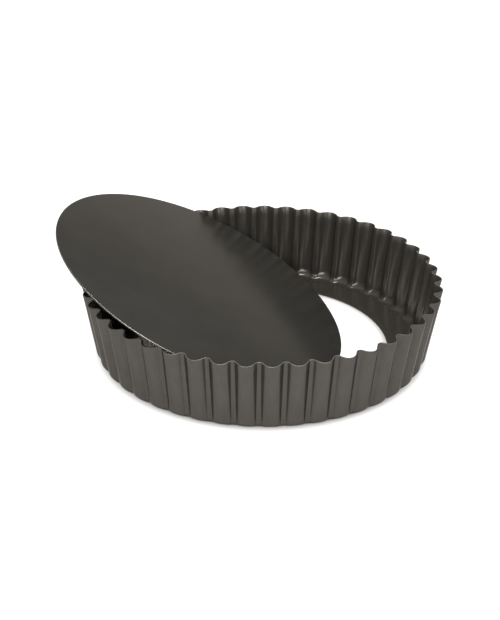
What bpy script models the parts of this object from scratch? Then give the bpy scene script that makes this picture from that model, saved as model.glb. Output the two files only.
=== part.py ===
"""Deep fluted tart pan: a pressed ring with a narrow ledge, and the loose base that drops on to it.

The base is modelled leaning in the ring, its low edge down through the ledge's
opening and its sides lying on the rim, the way a loose base is set down when it
comes out. Units are metres, +Z is up, and the ring stands on z = 0. The base
climbs towards -X. The origin is under the middle of the whole object.
"""

import math

import bmesh
import bpy
from mathutils import Matrix, Vector
from mathutils.bvhtree import BVHTree

# Ring: a fluted wall that leans out, a round bend at its foot and a flat ledge.
RIM_RADIUS = 0.12065        # centre to the outer side of a flute, at the rim
PAN_HEIGHT = 0.0508         # table to the rim's highest points, at the grooves
RIM_FALL = math.radians(7)  # slope of the cut rim, down from the grooves to the flutes
SHEET = 0.0008              # thickness of the ring's steel
WALL_LEAN = math.radians(10)
BEND_RADIUS = 0.0075        # outer side of the bend between wall and ledge
LEDGE_WIDTH = 0.0194        # flat of the ledge, from its opening to the bend

# Flutes: the same number of rounded grooves all round, deepest at the rim.
FLUTES = 45
RIM_FLUTE_DEPTH = 0.0051
FOOT_FLUTE_DEPTH = 0.0029   # just above the bend, in which the flutes die out
NARROWING = 0.120           # share of a pitch that narrows the groove
RIM_STEEPENING = 0.020      # share of a pitch that makes its flanks steeper, at the rim
FOOT_STEEPENING = 0.047     # the same at the foot, where the flutes are shallower
LOBE_ROUNDING = 0.25        # share of the depth that rounds the flutes' tops

# Loose base: a flat disc that drops on to the ledge.
BASE_THICKNESS = 0.0010
BASE_EDGE = 0.0002          # width of the broken edge
SEAT_CLEARANCE = 0.0005     # base to the bend, all round, when it is seated

# Lean: how the base lies in the ring.
LOW_EDGE_REACH = 0.0543     # ring's centre to the base's low edge
REST_GAP = 0.0003           # least distance from the base to the ring
STEEPEST_LEAN = math.radians(60)

# Fineness of the solids, and of the search for the lean.
STEPS_PER_FLUTE = 10
BEND_STEPS = 4
BASE_SIDES = 180
EDGE_SAMPLES = 1440
LEAN_HALVINGS = 20

# What follows from those sizes.
FOOT_RADIUS = RIM_RADIUS - PAN_HEIGHT * math.tan(WALL_LEAN)
BEND_CENTRE = FOOT_RADIUS - BEND_RADIUS * (1 - math.sin(WALL_LEAN)) / math.cos(WALL_LEAN)
BEND_TOP = BEND_RADIUS * (1 - math.sin(WALL_LEAN))
OPENING_RADIUS = BEND_CENTRE - LEDGE_WIDTH
BASE_RADIUS = BEND_CENTRE - SEAT_CLEARANCE
GROOVE_RADIUS = RIM_RADIUS - RIM_FLUTE_DEPTH - SHEET
FLUTE_PITCH = 2 * math.pi / FLUTES


def coated_steel(name, colour, roughness):
    """Steel sheet with a satin non-stick coating."""
    material = bpy.data.materials.new(name)
    material.use_nodes = True
    shader = material.node_tree.nodes["Principled BSDF"]
    shader.inputs["Base Color"].default_value = (*colour, 1)
    shader.inputs["Roughness"].default_value = roughness
    shader.inputs["Metallic"].default_value = 0.6
    return material


def flute_depth(height):
    """Depth of the grooves at a height on the outer side of the ring."""
    if height < BEND_TOP:
        bent = math.acos(1 - height / BEND_RADIUS)
        return FOOT_FLUTE_DEPTH * bent / (math.pi / 2 - WALL_LEAN)
    up_wall = (height - BEND_TOP) / (PAN_HEIGHT - BEND_TOP)
    return FOOT_FLUTE_DEPTH + (RIM_FLUTE_DEPTH - FOOT_FLUTE_DEPTH) * up_wall


def fluted(point):
    """Where a point of the plain turned ring goes when the flutes are pressed. A groove is at +X."""
    angle = math.atan2(point.y, point.x)
    turn = FLUTES * angle
    share = (1 + math.cos(turn)) / 2 + LOBE_ROUNDING * (1 - math.cos(2 * turn)) / 2
    radius = point.xy.length - flute_depth(point.z) * share
    steepening = FOOT_STEEPENING + (RIM_STEEPENING - FOOT_STEEPENING) * point.z / PAN_HEIGHT
    angle += FLUTE_PITCH * (steepening * math.sin(2 * turn) - NARROWING * math.sin(turn))
    return Vector((radius * math.cos(angle), radius * math.sin(angle), point.z))


def ring_section():
    """The ring's outer side from the ledge's opening to the rim, as points at angle 0."""
    section = [(OPENING_RADIUS, 0, 0)]
    for step in range(BEND_STEPS + 1):
        bent = (math.pi / 2 - WALL_LEAN) * step / BEND_STEPS
        radius = BEND_CENTRE + BEND_RADIUS * math.sin(bent)
        section.append((radius, 0, BEND_RADIUS * (1 - math.cos(bent))))
    section.append((RIM_RADIUS, 0, PAN_HEIGHT))
    return section


def rim_height(radius):
    """Height of the cut rim: highest at the grooves, and lower on the flutes outside them."""
    return PAN_HEIGHT - (radius - GROOVE_RADIUS) * math.tan(RIM_FALL)


def make_fluted_ring():
    """The ring: its section is spun round, fluted, and given the sheet's thickness."""
    shell = bmesh.new()
    points = [shell.verts.new(place) for place in ring_section()]
    lines = [shell.edges.new(pair) for pair in zip(points, points[1:])]
    bmesh.ops.spin(
        shell,
        geom=points + lines,
        axis=(0, 0, 1),
        angle=2 * math.pi,
        steps=FLUTES * STEPS_PER_FLUTE,
        use_merge=True,
    )
    for vert in shell.verts:
        vert.co = fluted(vert.co)
    bmesh.ops.recalc_face_normals(shell, faces=shell.faces)
    bmesh.ops.solidify(shell, geom=shell.faces, thickness=SHEET)
    for vert in shell.verts:
        if vert.co.z > PAN_HEIGHT - SHEET:
            vert.co.z = rim_height(vert.co.xy.length)
    bmesh.ops.recalc_face_normals(shell, faces=shell.faces)
    mesh = bpy.data.meshes.new("fluted_ring")
    shell.to_mesh(mesh)
    shell.free()
    mesh.shade_smooth()
    mesh.set_sharp_from_angle(angle=math.radians(50))
    mesh.materials.append(coated_steel("ring_coating", (0.098, 0.090, 0.078), 0.42))
    return bpy.data.objects.new("fluted_ring", mesh)


def base_place(lean):
    """The base's place when it leans this much, its low edge on the table."""
    low_corner = Vector((BASE_RADIUS, 0, -BASE_THICKNESS / 2))
    turned = Matrix.Rotation(lean, 4, "Y")
    return Matrix.Translation(Vector((LOW_EDGE_REACH, 0, 0)) - turned @ low_corner) @ turned


def base_clears_ring(lean, rim, ring_tree):
    """Whether the base passes over the rim, and its edge keeps the gap to the whole ring."""
    place = base_place(lean)
    to_base = place.inverted()
    for point in rim:
        under = to_base @ point
        beneath = under.xy.length < BASE_RADIUS
        if beneath and under.z > -BASE_THICKNESS / 2 - REST_GAP:
            return False
    for sample in range(EDGE_SAMPLES):
        turned = Matrix.Rotation(2 * math.pi * sample / EDGE_SAMPLES, 4, "Z")
        for height in (-BASE_THICKNESS / 2, BASE_THICKNESS / 2):
            corner = place @ turned @ Vector((BASE_RADIUS, 0, height))
            distance = ring_tree.find_nearest(corner)[3]
            if distance < REST_GAP:
                return False
    return True


def find_lean(ring):
    """The least lean at which the base clears the ring, which is where it comes to rest."""
    shell = bmesh.new()
    shell.from_mesh(ring.data)
    ring_tree = BVHTree.FromBMesh(shell)
    shell.free()
    rim_foot = rim_height(RIM_RADIUS) - SHEET
    rim = [vert.co for vert in ring.data.vertices if vert.co.z > rim_foot]
    too_low = 0
    clear = STEEPEST_LEAN
    for _ in range(LEAN_HALVINGS):
        lean = (too_low + clear) / 2
        if base_clears_ring(lean, rim, ring_tree):
            clear = lean
        else:
            too_low = lean
    return clear


def make_loose_base(lean):
    """The base: a flat disc with a broken edge."""
    bpy.ops.mesh.primitive_cylinder_add(
        vertices=BASE_SIDES, radius=BASE_RADIUS, depth=BASE_THICKNESS
    )
    base = bpy.context.object
    base.name = base.data.name = "loose_base"
    place = base_place(lean)
    base.location = place.to_translation()
    base.rotation_euler = place.to_euler()
    edge = base.modifiers.new("broken edge", "BEVEL")
    edge.width = BASE_EDGE
    edge.segments = 1
    edge.limit_method = "ANGLE"
    base.data.shade_smooth()
    base.data.set_sharp_from_angle(angle=math.radians(30))
    base.data.materials.append(coated_steel("base_coating", (0.062, 0.059, 0.053), 0.38))
    return base


def main():
    for old in list(bpy.data.objects):
        bpy.data.objects.remove(old)
    pan = bpy.data.collections.new("tart_pan")
    bpy.context.scene.collection.children.link(pan)

    ring = make_fluted_ring()
    lean = find_lean(ring)
    base = make_loose_base(lean)
    for holder in list(base.users_collection):
        holder.objects.unlink(base)

    # The ring's centre goes where the middle of the whole object is over the origin.
    ring_reach = max(vert.co.x for vert in ring.data.vertices)
    base_reach = 2 * BASE_RADIUS * math.cos(lean) - LOW_EDGE_REACH
    centre = bpy.data.objects.new("ring_centre", None)
    centre.location.x = (base_reach - ring_reach) / 2
    pan.objects.link(centre)
    for piece in (ring, base):
        pan.objects.link(piece)
        piece.parent = centre


main()
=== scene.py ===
"""The looks of a deep fluted tart pan: a pressed ring and its loose base, both coated steel."""

import math

import bmesh
import bpy
from mathutils import Matrix, Vector


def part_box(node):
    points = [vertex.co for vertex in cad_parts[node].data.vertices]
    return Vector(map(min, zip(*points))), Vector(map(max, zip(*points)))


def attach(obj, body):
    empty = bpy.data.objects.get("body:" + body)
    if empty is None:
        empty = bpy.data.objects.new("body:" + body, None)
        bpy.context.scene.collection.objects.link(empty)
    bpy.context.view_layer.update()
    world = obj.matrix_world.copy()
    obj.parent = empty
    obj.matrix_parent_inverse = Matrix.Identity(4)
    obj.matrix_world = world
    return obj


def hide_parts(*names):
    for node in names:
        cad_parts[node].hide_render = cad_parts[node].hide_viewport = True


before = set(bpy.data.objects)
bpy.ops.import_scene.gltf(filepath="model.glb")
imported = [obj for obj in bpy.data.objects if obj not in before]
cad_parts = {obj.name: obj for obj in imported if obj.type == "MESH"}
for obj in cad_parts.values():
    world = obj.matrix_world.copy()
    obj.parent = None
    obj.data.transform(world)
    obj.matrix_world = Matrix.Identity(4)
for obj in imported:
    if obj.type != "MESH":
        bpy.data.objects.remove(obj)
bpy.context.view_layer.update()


# ---------------------------------------------------------------------------
# The fluted ring
# One pressing of thin steel sheet, dark non-stick coating inside and out. The
# press draws 45 flutes into a leaning wall and leaves a flat ledge under it;
# the rim and the ledge's round opening are then cut, which bares the steel.
# ---------------------------------------------------------------------------

SHEET = 0.0008
RIM_RADIUS = 0.12065
PAN_HEIGHT = 0.0508
WALL_LEAN = math.radians(10)
BEND_RADIUS = 0.0075
LEDGE_WIDTH = 0.0194
RIM_FALL = math.radians(7)  # the cut rim drops this much from its grooves outwards
BURR = 0.00012              # rounding that the cutting tool leaves on a cut edge

FLUTES = 45
RIM_FLUTE_DEPTH = 0.0051
FOOT_FLUTE_DEPTH = 0.0029
LOBE_ROUNDING = 0.25        # how far a flute's flanks sink in, as a share of its depth
NARROWING = 0.120           # how far the grooves close up, as a share of a flute's width
RIM_STEEPENING = 0.020      # how far the flanks are squeezed, as a share of the same
FOOT_STEEPENING = 0.047

FLUTE_PITCH = 2 * math.pi / FLUTES
FOOT_RADIUS = RIM_RADIUS - PAN_HEIGHT * math.tan(WALL_LEAN)
BEND_CENTRE = FOOT_RADIUS - BEND_RADIUS * (1 - math.sin(WALL_LEAN)) / math.cos(WALL_LEAN)
BEND_TURN = math.pi / 2 - WALL_LEAN
BEND_TOP = BEND_RADIUS * (1 - math.sin(WALL_LEAN))
OPENING_RADIUS = BEND_CENTRE - LEDGE_WIDTH
GROOVE_RADIUS = RIM_RADIUS - RIM_FLUTE_DEPTH - SHEET

# How finely the ring's mesh is divided, and which of its edges are cut or sharp.
STEPS_PER_FLUTE = 24
LEDGE_ROWS = 4
BEND_ROWS = 12
WALL_ROWS = 6
CUT_ANGLE = math.radians(60)
RING_SHARP_ANGLE = math.radians(55)
BEVEL_PROFILE = 0.5

ring_low = Vector(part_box("fluted_ring")[0])
ring_centre = Vector((ring_low.x + RIM_RADIUS, 0, 0))


def flute_depth(height):
    """Depth of the grooves at a height on the ring's outer side: none on the ledge."""
    if height < BEND_TOP:
        bent = math.acos(1 - height / BEND_RADIUS)
        return FOOT_FLUTE_DEPTH * bent / BEND_TURN
    up_wall = (height - BEND_TOP) / (PAN_HEIGHT - BEND_TOP)
    return FOOT_FLUTE_DEPTH + (RIM_FLUTE_DEPTH - FOOT_FLUTE_DEPTH) * up_wall


def fluted(point):
    """Where a point of the plain drawn ring goes when the flutes are pressed."""
    angle = math.atan2(point.y, point.x)
    turn = FLUTES * angle
    share = (1 + math.cos(turn)) / 2 + LOBE_ROUNDING * (1 - math.cos(2 * turn)) / 2
    radius = point.xy.length - flute_depth(point.z) * share
    steepening = FOOT_STEEPENING + (RIM_STEEPENING - FOOT_STEEPENING) * point.z / PAN_HEIGHT
    angle += FLUTE_PITCH * (steepening * math.sin(2 * turn) - NARROWING * math.sin(turn))
    return Vector((radius * math.cos(angle), radius * math.sin(angle), point.z))


def ring_section():
    """The outer side from the opening to the rim: ledge, bend and leaning wall."""
    points = []
    for row in range(LEDGE_ROWS):
        points.append((OPENING_RADIUS + LEDGE_WIDTH * row / LEDGE_ROWS, 0, 0))
    for row in range(BEND_ROWS):
        bent = BEND_TURN * row / BEND_ROWS
        radius = BEND_CENTRE + BEND_RADIUS * math.sin(bent)
        points.append((radius, 0, BEND_RADIUS * (1 - math.cos(bent))))
    for row in range(WALL_ROWS + 1):
        height = BEND_TOP + (PAN_HEIGHT - BEND_TOP) * row / WALL_ROWS
        points.append((RIM_RADIUS - (PAN_HEIGHT - height) * math.tan(WALL_LEAN), 0, height))
    return points


def round_cut_edges(solid, radius, segments):
    """Every edge that the cutting tool left square gets its small rounding."""
    cut = [edge for edge in solid.edges if edge.calc_face_angle(0) > CUT_ANGLE]
    bmesh.ops.bevel(
        solid, geom=cut, offset=radius, segments=segments, profile=BEVEL_PROFILE,
        affect="EDGES", material=-1,
    )


def finished_piece(name, solid, sharp_angle):
    """The object for a finished solid, smooth but for its sharp edges."""
    mesh = bpy.data.meshes.new(name)
    solid.to_mesh(mesh)
    solid.free()
    mesh.shade_smooth()
    mesh.set_sharp_from_angle(angle=sharp_angle)
    piece = bpy.data.objects.new(name, mesh)
    bpy.context.scene.collection.objects.link(piece)
    return piece


def press_ring():
    """The section is spun, fluted and given its wall, and the cut edges are rounded."""
    shell = bmesh.new()
    points = [shell.verts.new(place) for place in ring_section()]
    lines = [shell.edges.new(pair) for pair in zip(points, points[1:])]
    bmesh.ops.spin(
        shell, geom=points + lines, axis=(0, 0, 1), angle=2 * math.pi,
        steps=FLUTES * STEPS_PER_FLUTE, use_merge=True,
    )
    for vert in shell.verts:
        vert.co = fluted(vert.co)
    bmesh.ops.recalc_face_normals(shell, faces=shell.faces)
    bmesh.ops.solidify(shell, geom=shell.faces, thickness=SHEET)
    for vert in shell.verts:
        if vert.co.z > PAN_HEIGHT - SHEET:
            vert.co.z = PAN_HEIGHT - (vert.co.xy.length - GROOVE_RADIUS) * math.tan(RIM_FALL)
    bmesh.ops.recalc_face_normals(shell, faces=shell.faces)
    round_cut_edges(shell, BURR, segments=2)
    bmesh.ops.translate(shell, verts=shell.verts, vec=ring_centre)
    return finished_piece("ring_pressing", shell, RING_SHARP_ANGLE)


ring = press_ring()


class Nodes:
    """The nodes of one material; a value that is a socket is linked, any other is set."""

    def __init__(self, name):
        self.material = bpy.data.materials.new(name)
        self.material.use_nodes = True
        self.tree = self.material.node_tree
        self.shader = self.tree.nodes["Principled BSDF"]

    def fill(self, node, inputs):
        """Give a node its inputs, by name or by number."""
        for name, value in inputs.items():
            if isinstance(value, bpy.types.NodeSocket):
                self.tree.links.new(value, node.inputs[name])
            else:
                node.inputs[name].default_value = value

    def add(self, kind, inputs, **settings):
        node = self.tree.nodes.new(kind)
        for name, value in settings.items():
            setattr(node, name, value)
        self.fill(node, inputs)
        return node

    def place(self):
        """Where a point of the piece is, in metres."""
        return self.add("ShaderNodeTexCoord", {}).outputs["Object"]

    def height(self, place):
        return self.add("ShaderNodeSeparateXYZ", {"Vector": place}).outputs["Z"]

    def math(self, operation, *values):
        inputs = dict(enumerate(values))
        return self.add("ShaderNodeMath", inputs, operation=operation).outputs[0]

    def vector(self, operation, *values):
        inputs = dict(enumerate(values))
        node = self.add("ShaderNodeVectorMath", inputs, operation=operation)
        return node.outputs["Value" if operation == "LENGTH" else "Vector"]

    def spread(self, value, ends, new_ends):
        """A value that runs between two ends, made to run between two others."""
        inputs = dict(enumerate((value, *ends, *new_ends)))
        return self.add("ShaderNodeMapRange", inputs).outputs[0]

    def weigh(self, first, share, second):
        """A share of the first pattern and the rest of the second."""
        return self.math(
            "ADD", self.math("MULTIPLY", first, share), self.math("MULTIPLY", second, 1 - share)
        )

    def mix(self, share, first, second):
        """From the first colour to the second."""
        inputs = {0: share, 6: first, 7: second}
        return self.add("ShaderNodeMix", inputs, data_type="RGBA").outputs[2]

    def noise(self, place, scale, detail, roughness=0.5):
        inputs = {"Vector": place, "Scale": scale, "Detail": detail, "Roughness": roughness}
        return self.add("ShaderNodeTexNoise", inputs).outputs["Fac"]

    def bump(self, pattern, depth, under=None):
        """Relief of a depth in metres, on top of another where there is one."""
        inputs = {"Height": pattern, "Distance": depth, "Strength": 1.0}
        if under is not None:
            inputs["Normal"] = under
        return self.add("ShaderNodeBump", inputs).outputs[0]

    def shade(self, **inputs):
        """Set the shader itself, which finishes the material."""
        self.fill(self.shader, {name.replace("_", " "): value for name, value in inputs.items()})
        return self.material


COATING_DARK = (0.050, 0.047, 0.0425, 1)
COATING_LIGHT = (0.077, 0.0722, 0.0645, 1)
SHEEN_TINT = (0.38, 0.362, 0.336, 1)
COATING_METAL = 0.65
RING_ROUGHNESS = 0.24
LEDGE_ROUGHNESS = 0.18
LEDGE_END = 0.0015          # height at which the smooth ledge gives way to the drawn bend
UNEVENNESS = (0.97, 1.05)   # how far the roughness strays with the mottling
MOTTLING_ENDS = (0.3, 0.7)

STREAKS = 55
STREAK_CLIMB = 2.0          # the higher this is, the shorter the streaks up the wall
STREAK_SHARE = 0.6
STREAK_DEPTH = 0.0000025
RING_MOTTLING = 70
RING_GRAIN = 1500
RING_GRAIN_DEPTH = 0.0000006
RING_PATTERN_ENDS = (0.36, 0.64)
RING_TONE_ENDS = (0.38, 0.68)

RIM_STEEL = (0.15, 0.145, 0.135)
RIM_ROUGHNESS = 0.40
RIM_CUT_HEIGHT = PAN_HEIGHT - SHEET * 1.6
RIM_CUT_FACING = 0.95
CUT_MARKS = 1500
CUT_MARK_DEPTH = 0.00001
CUT_MARK_SHADE = 0.7


def ring_coating():
    """Satin coating: drawing streaks up the wall, faint mottling and a fine grain."""
    use = Nodes("ring_coating")
    place = use.place()
    centred = use.vector("SUBTRACT", place, tuple(ring_centre))
    outward = use.vector("NORMALIZE", use.vector("MULTIPLY", centred, (1, 1, 0)))
    up = use.vector("MULTIPLY", centred, (0, 0, STREAK_CLIMB))
    streaks = use.noise(use.vector("ADD", outward, up), STREAKS, detail=2)
    mottling = use.noise(centred, RING_MOTTLING, detail=3, roughness=0.6)
    grain = use.noise(centred, RING_GRAIN, detail=1)
    pattern = use.weigh(streaks, STREAK_SHARE, mottling)
    tone = use.spread(pattern, RING_PATTERN_ENDS, RING_TONE_ENDS)
    drawn_sheet = use.spread(
        use.height(place), (LEDGE_END, BEND_TOP), (LEDGE_ROUGHNESS, RING_ROUGHNESS)
    )
    unevenness = use.spread(mottling, MOTTLING_ENDS, UNEVENNESS)
    fine_relief = use.bump(grain, RING_GRAIN_DEPTH)
    return use.shade(
        Base_Color=use.mix(tone, COATING_DARK, COATING_LIGHT),
        Roughness=use.math("MULTIPLY", drawn_sheet, unevenness),
        Normal=use.bump(streaks, STREAK_DEPTH, under=fine_relief),
        Specular_Tint=SHEEN_TINT,
        Metallic=COATING_METAL,
    )


def cut_steel(name, colour, roughness):
    """Bare edge left by the cutting tool, with fine marks across it."""
    use = Nodes(name)
    marks = use.noise(use.place(), CUT_MARKS, detail=3)
    shaded = (*(part * CUT_MARK_SHADE for part in colour), 1)
    return use.shade(
        Base_Color=use.mix(marks, shaded, (*colour, 1)),
        Normal=use.bump(marks, CUT_MARK_DEPTH),
        Metallic=1.0,
        Roughness=roughness,
    )


ring.data.materials.append(ring_coating())
ring.data.materials.append(cut_steel("rim_edge", RIM_STEEL, RIM_ROUGHNESS))
for face in ring.data.polygons:
    if face.center.z > RIM_CUT_HEIGHT and face.normal.z > RIM_CUT_FACING:
        face.material_index = 1
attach(ring, "ring")
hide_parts("fluted_ring")


# ---------------------------------------------------------------------------
# The loose base
# A flat disc blanked from thicker steel sheet, with the same coating. It drops
# on to the ledge; here it leans, low edge on the table and sides on the rim.
# ---------------------------------------------------------------------------

BASE_PLAY = 0.00055
BASE_RADIUS = BEND_CENTRE - BASE_PLAY
BASE_THICKNESS = 0.0010
BASE_EDGE = 0.0002          # rounding of the cut edge
BASE_SIDES = 720
BASE_MARGIN = 0.004         # band of faces inside the edge, which keeps its shading even
BASE_SHARP_ANGLE = math.radians(40)

# A disc with such an edge fills the base's box at one lean only.
base_low, base_high = (Vector(corner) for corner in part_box("loose_base"))
base_size = base_high - base_low
base_lean = math.atan2(
    2 * BASE_RADIUS * base_size.z - BASE_THICKNESS * base_size.x,
    2 * (BASE_RADIUS - BASE_EDGE) * base_size.x - (BASE_THICKNESS - 2 * BASE_EDGE) * base_size.z,
)
base_turn = Matrix.Rotation(base_lean, 4, "Y")
base_place = Matrix.Translation((base_low + base_high) / 2) @ base_turn


def blank_base():
    """The disc is blanked, its cut edges are rounded, and it is laid in its leaning place."""
    disc = bmesh.new()
    bmesh.ops.create_circle(disc, cap_ends=True, radius=BASE_RADIUS, segments=BASE_SIDES)
    bmesh.ops.inset_region(disc, faces=disc.faces[:], thickness=BASE_MARGIN)
    bmesh.ops.solidify(disc, geom=disc.faces, thickness=BASE_THICKNESS)
    bmesh.ops.recalc_face_normals(disc, faces=disc.faces)
    round_cut_edges(disc, BASE_EDGE, segments=3)
    middle = sum(vert.co.z for vert in disc.verts) / len(disc.verts)
    bmesh.ops.translate(disc, verts=disc.verts, vec=(0, 0, -middle))
    disc.transform(base_place)
    return finished_piece("base_disc", disc, BASE_SHARP_ANGLE)


base = blank_base()

BASE_DARK = (0.0435, 0.0420, 0.0385, 1)
BASE_LIGHT = (0.0665, 0.0640, 0.0590, 1)
BASE_ROUGHNESS = 0.24
BASE_UNEVENNESS = 0.006

ROLLING = 40
ROLLING_STRETCH = (1, 9, 1)
ROLLING_SHARE = 0.4
BASE_MOTTLING = 30
BASE_GRAIN = 2200
BASE_GRAIN_DEPTH = 0.000008
BASE_PATTERN_ENDS = (0.30, 0.70)
BASE_TONE_ENDS = (0.25, 0.75)
BASE_GLOSS_ENDS = (0.35, 0.65)

BASE_STEEL = (0.40, 0.39, 0.37)
BASE_STEEL_ROUGHNESS = 0.32
BASE_CUT_FACING = (0.2, 0.8)


def base_coating():
    """The same coating on flat rolled sheet: smoother, with a faint rolling grain."""
    use = Nodes("base_coating")
    place = use.place()
    rolling = use.noise(use.vector("MULTIPLY", place, ROLLING_STRETCH), ROLLING, detail=3)
    mottling = use.noise(place, BASE_MOTTLING, detail=3, roughness=0.6)
    grain = use.noise(place, BASE_GRAIN, detail=2)
    pattern = use.weigh(rolling, ROLLING_SHARE, mottling)
    tone = use.spread(pattern, BASE_PATTERN_ENDS, BASE_TONE_ENDS)
    roughness_ends = (BASE_ROUGHNESS - BASE_UNEVENNESS, BASE_ROUGHNESS + BASE_UNEVENNESS)
    return use.shade(
        Base_Color=use.mix(tone, BASE_DARK, BASE_LIGHT),
        Roughness=use.spread(pattern, BASE_GLOSS_ENDS, roughness_ends),
        Normal=use.bump(grain, BASE_GRAIN_DEPTH),
        Specular_Tint=SHEEN_TINT,
        Metallic=COATING_METAL,
    )


base.data.materials.append(base_coating())
base.data.materials.append(cut_steel("base_edge", BASE_STEEL, BASE_STEEL_ROUGHNESS))
base_axis = base_turn.to_3x3() @ Vector((0, 0, 1))
for face in base.data.polygons:
    if BASE_CUT_FACING[0] < face.normal.dot(base_axis) < BASE_CUT_FACING[1]:
        face.material_index = 1
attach(base, "base")
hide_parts("loose_base")


# ---------------------------------------------------------------------------
# Table, light and camera
# A matt white table that glows outside the pan, a painted light that fades out
# at the ring's foot and leaves painted shade there; inside the opening its colour
# darkens towards the edge as painted shade under the ledge. Three soft lamps above,
# in front and to the right; and a pale room that is darker half-way up. The camera
# looks down on the pan from the front.
# ---------------------------------------------------------------------------

TABLE_REACH = 8
# The table's glow is painted light that fills in the ring's shadow; it fades out towards the
# foot, so a narrow painted shade stays there.
TABLE_GLOW = 0.81
GLOW_START = FOOT_RADIUS + 0.002
# Width of the painted shade on the table, just inside the opening's edge.
PAINTED_SHADE_WIDTH = 0.007
TABLE_BRIGHT = 0.9
TABLE_PAINTED_SHADE = 0.35
TABLE_OUTSIDE = (0.35, 0.35, 0.35, 1)
OUTSIDE_ENDS = (0.1, 0.11)

table_grid = bmesh.new()
bmesh.ops.create_grid(table_grid, x_segments=1, y_segments=1, size=TABLE_REACH)
table_mesh = bpy.data.meshes.new("table")
table_grid.to_mesh(table_mesh)
table_grid.free()
table = bpy.data.objects.new("table", table_mesh)
bpy.context.scene.collection.objects.link(table)


def table_white():
    """White by its own glow outside the pan, painted light that fades to painted shade at the
    foot; by lamplight inside the opening, with painted shade darkening it towards the edge.
    """
    use = Nodes("table_white")
    from_ring = use.vector("SUBTRACT", use.place(), (ring_centre.x, 0, 0))
    away = use.vector("LENGTH", from_ring)
    # Glow rises from none under the foot to full just outside it: painted light, with a painted
    # shade band along the foot.
    glow = use.spread(away, (BEND_CENTRE, GLOW_START), (0, 1))
    # Inside the opening the table's colour darkens towards the edge: painted shade under the
    # ledge.
    painted_shade_ends = (OPENING_RADIUS - PAINTED_SHADE_WIDTH, OPENING_RADIUS)
    inside = use.spread(away, painted_shade_ends, (TABLE_BRIGHT, TABLE_PAINTED_SHADE))
    outside = use.spread(away, OUTSIDE_ENDS, (0, 1))
    return use.shade(
        Base_Color=use.mix(outside, inside, TABLE_OUTSIDE),
        Roughness=1.0,
        Specular_IOR_Level=0.0,
        Emission_Color=(1, 1, 1, 1),
        Emission_Strength=use.math("MULTIPLY", glow, TABLE_GLOW),
    )


table.data.materials.append(table_white())

LIGHT_COLOUR = (1.0, 0.975, 0.94)


def softbox(name, place, aim, size, power):
    """A flat rectangular lamp that faces what it aims at."""
    light = bpy.data.lights.new(name, "AREA")
    light.shape = "RECTANGLE"
    light.size, light.size_y = size
    light.energy = power
    light.color = LIGHT_COLOUR
    holder = bpy.data.objects.new(name, light)
    holder.location = place
    holder.rotation_euler = (Vector(aim) - Vector(place)).to_track_quat("-Z", "Y").to_euler()
    bpy.context.scene.collection.objects.link(holder)


LAMP_AIM = (0, 0.1, 0.03)

softbox("top_box", place=(0.1, 0.25, 1.7), aim=(0, 0, 0), size=(0.8, 0.6), power=27)
softbox("front_box", place=(-0.3, -1.6, 1.0), aim=LAMP_AIM, size=(1.6, 0.9), power=34)
softbox("right_box", place=(1.3, -1.0, 0.6), aim=LAMP_AIM, size=(1.0, 0.8), power=6)

# How bright the room is from the level of the table, 0, to straight above, 1.
ROOM = ((0.0, 0.95), (0.30, 0.92), (0.36, 0.78), (0.43, 0.30), (0.62, 0.42), (1.0, 1.0))


def lit(brightness):
    """The room's colour where it is this bright."""
    return (*(part * brightness for part in LIGHT_COLOUR), 1)


world = bpy.data.worlds.new("studio")
world.use_nodes = True
room = world.node_tree
direction = room.nodes.new("ShaderNodeTexCoord")
split = room.nodes.new("ShaderNodeSeparateXYZ")
ramp = room.nodes.new("ShaderNodeValToRGB")
room.links.new(direction.outputs["Generated"], split.inputs[0])
room.links.new(split.outputs["Z"], ramp.inputs["Fac"])
room.links.new(ramp.outputs["Color"], room.nodes["Background"].inputs["Color"])
stops = ramp.color_ramp.elements
stops.remove(stops[-1])
stops[0].color = lit(ROOM[0][1])
for level, brightness in ROOM[1:]:
    stops.new(level).color = lit(brightness)
bpy.context.scene.world = world
bpy.context.scene.view_settings.view_transform = "Standard"

CAMERA_PLACE = (0.05039, -0.94808, 0.52263)
CAMERA_TURN = (62.3802, -0.4899, 3.3071)
LENS_LENGTH = 91.967
SENSOR_WIDTH = 36
CLOSEST_SEEN = 0.01

lens = bpy.data.cameras.new("camera")
lens.lens = LENS_LENGTH
lens.sensor_width = SENSOR_WIDTH
lens.clip_start = CLOSEST_SEEN
camera = bpy.data.objects.new("camera", lens)
camera.location = CAMERA_PLACE
camera.rotation_euler = [math.radians(turn) for turn in CAMERA_TURN]
bpy.context.scene.collection.objects.link(camera)
bpy.context.scene.camera = camera
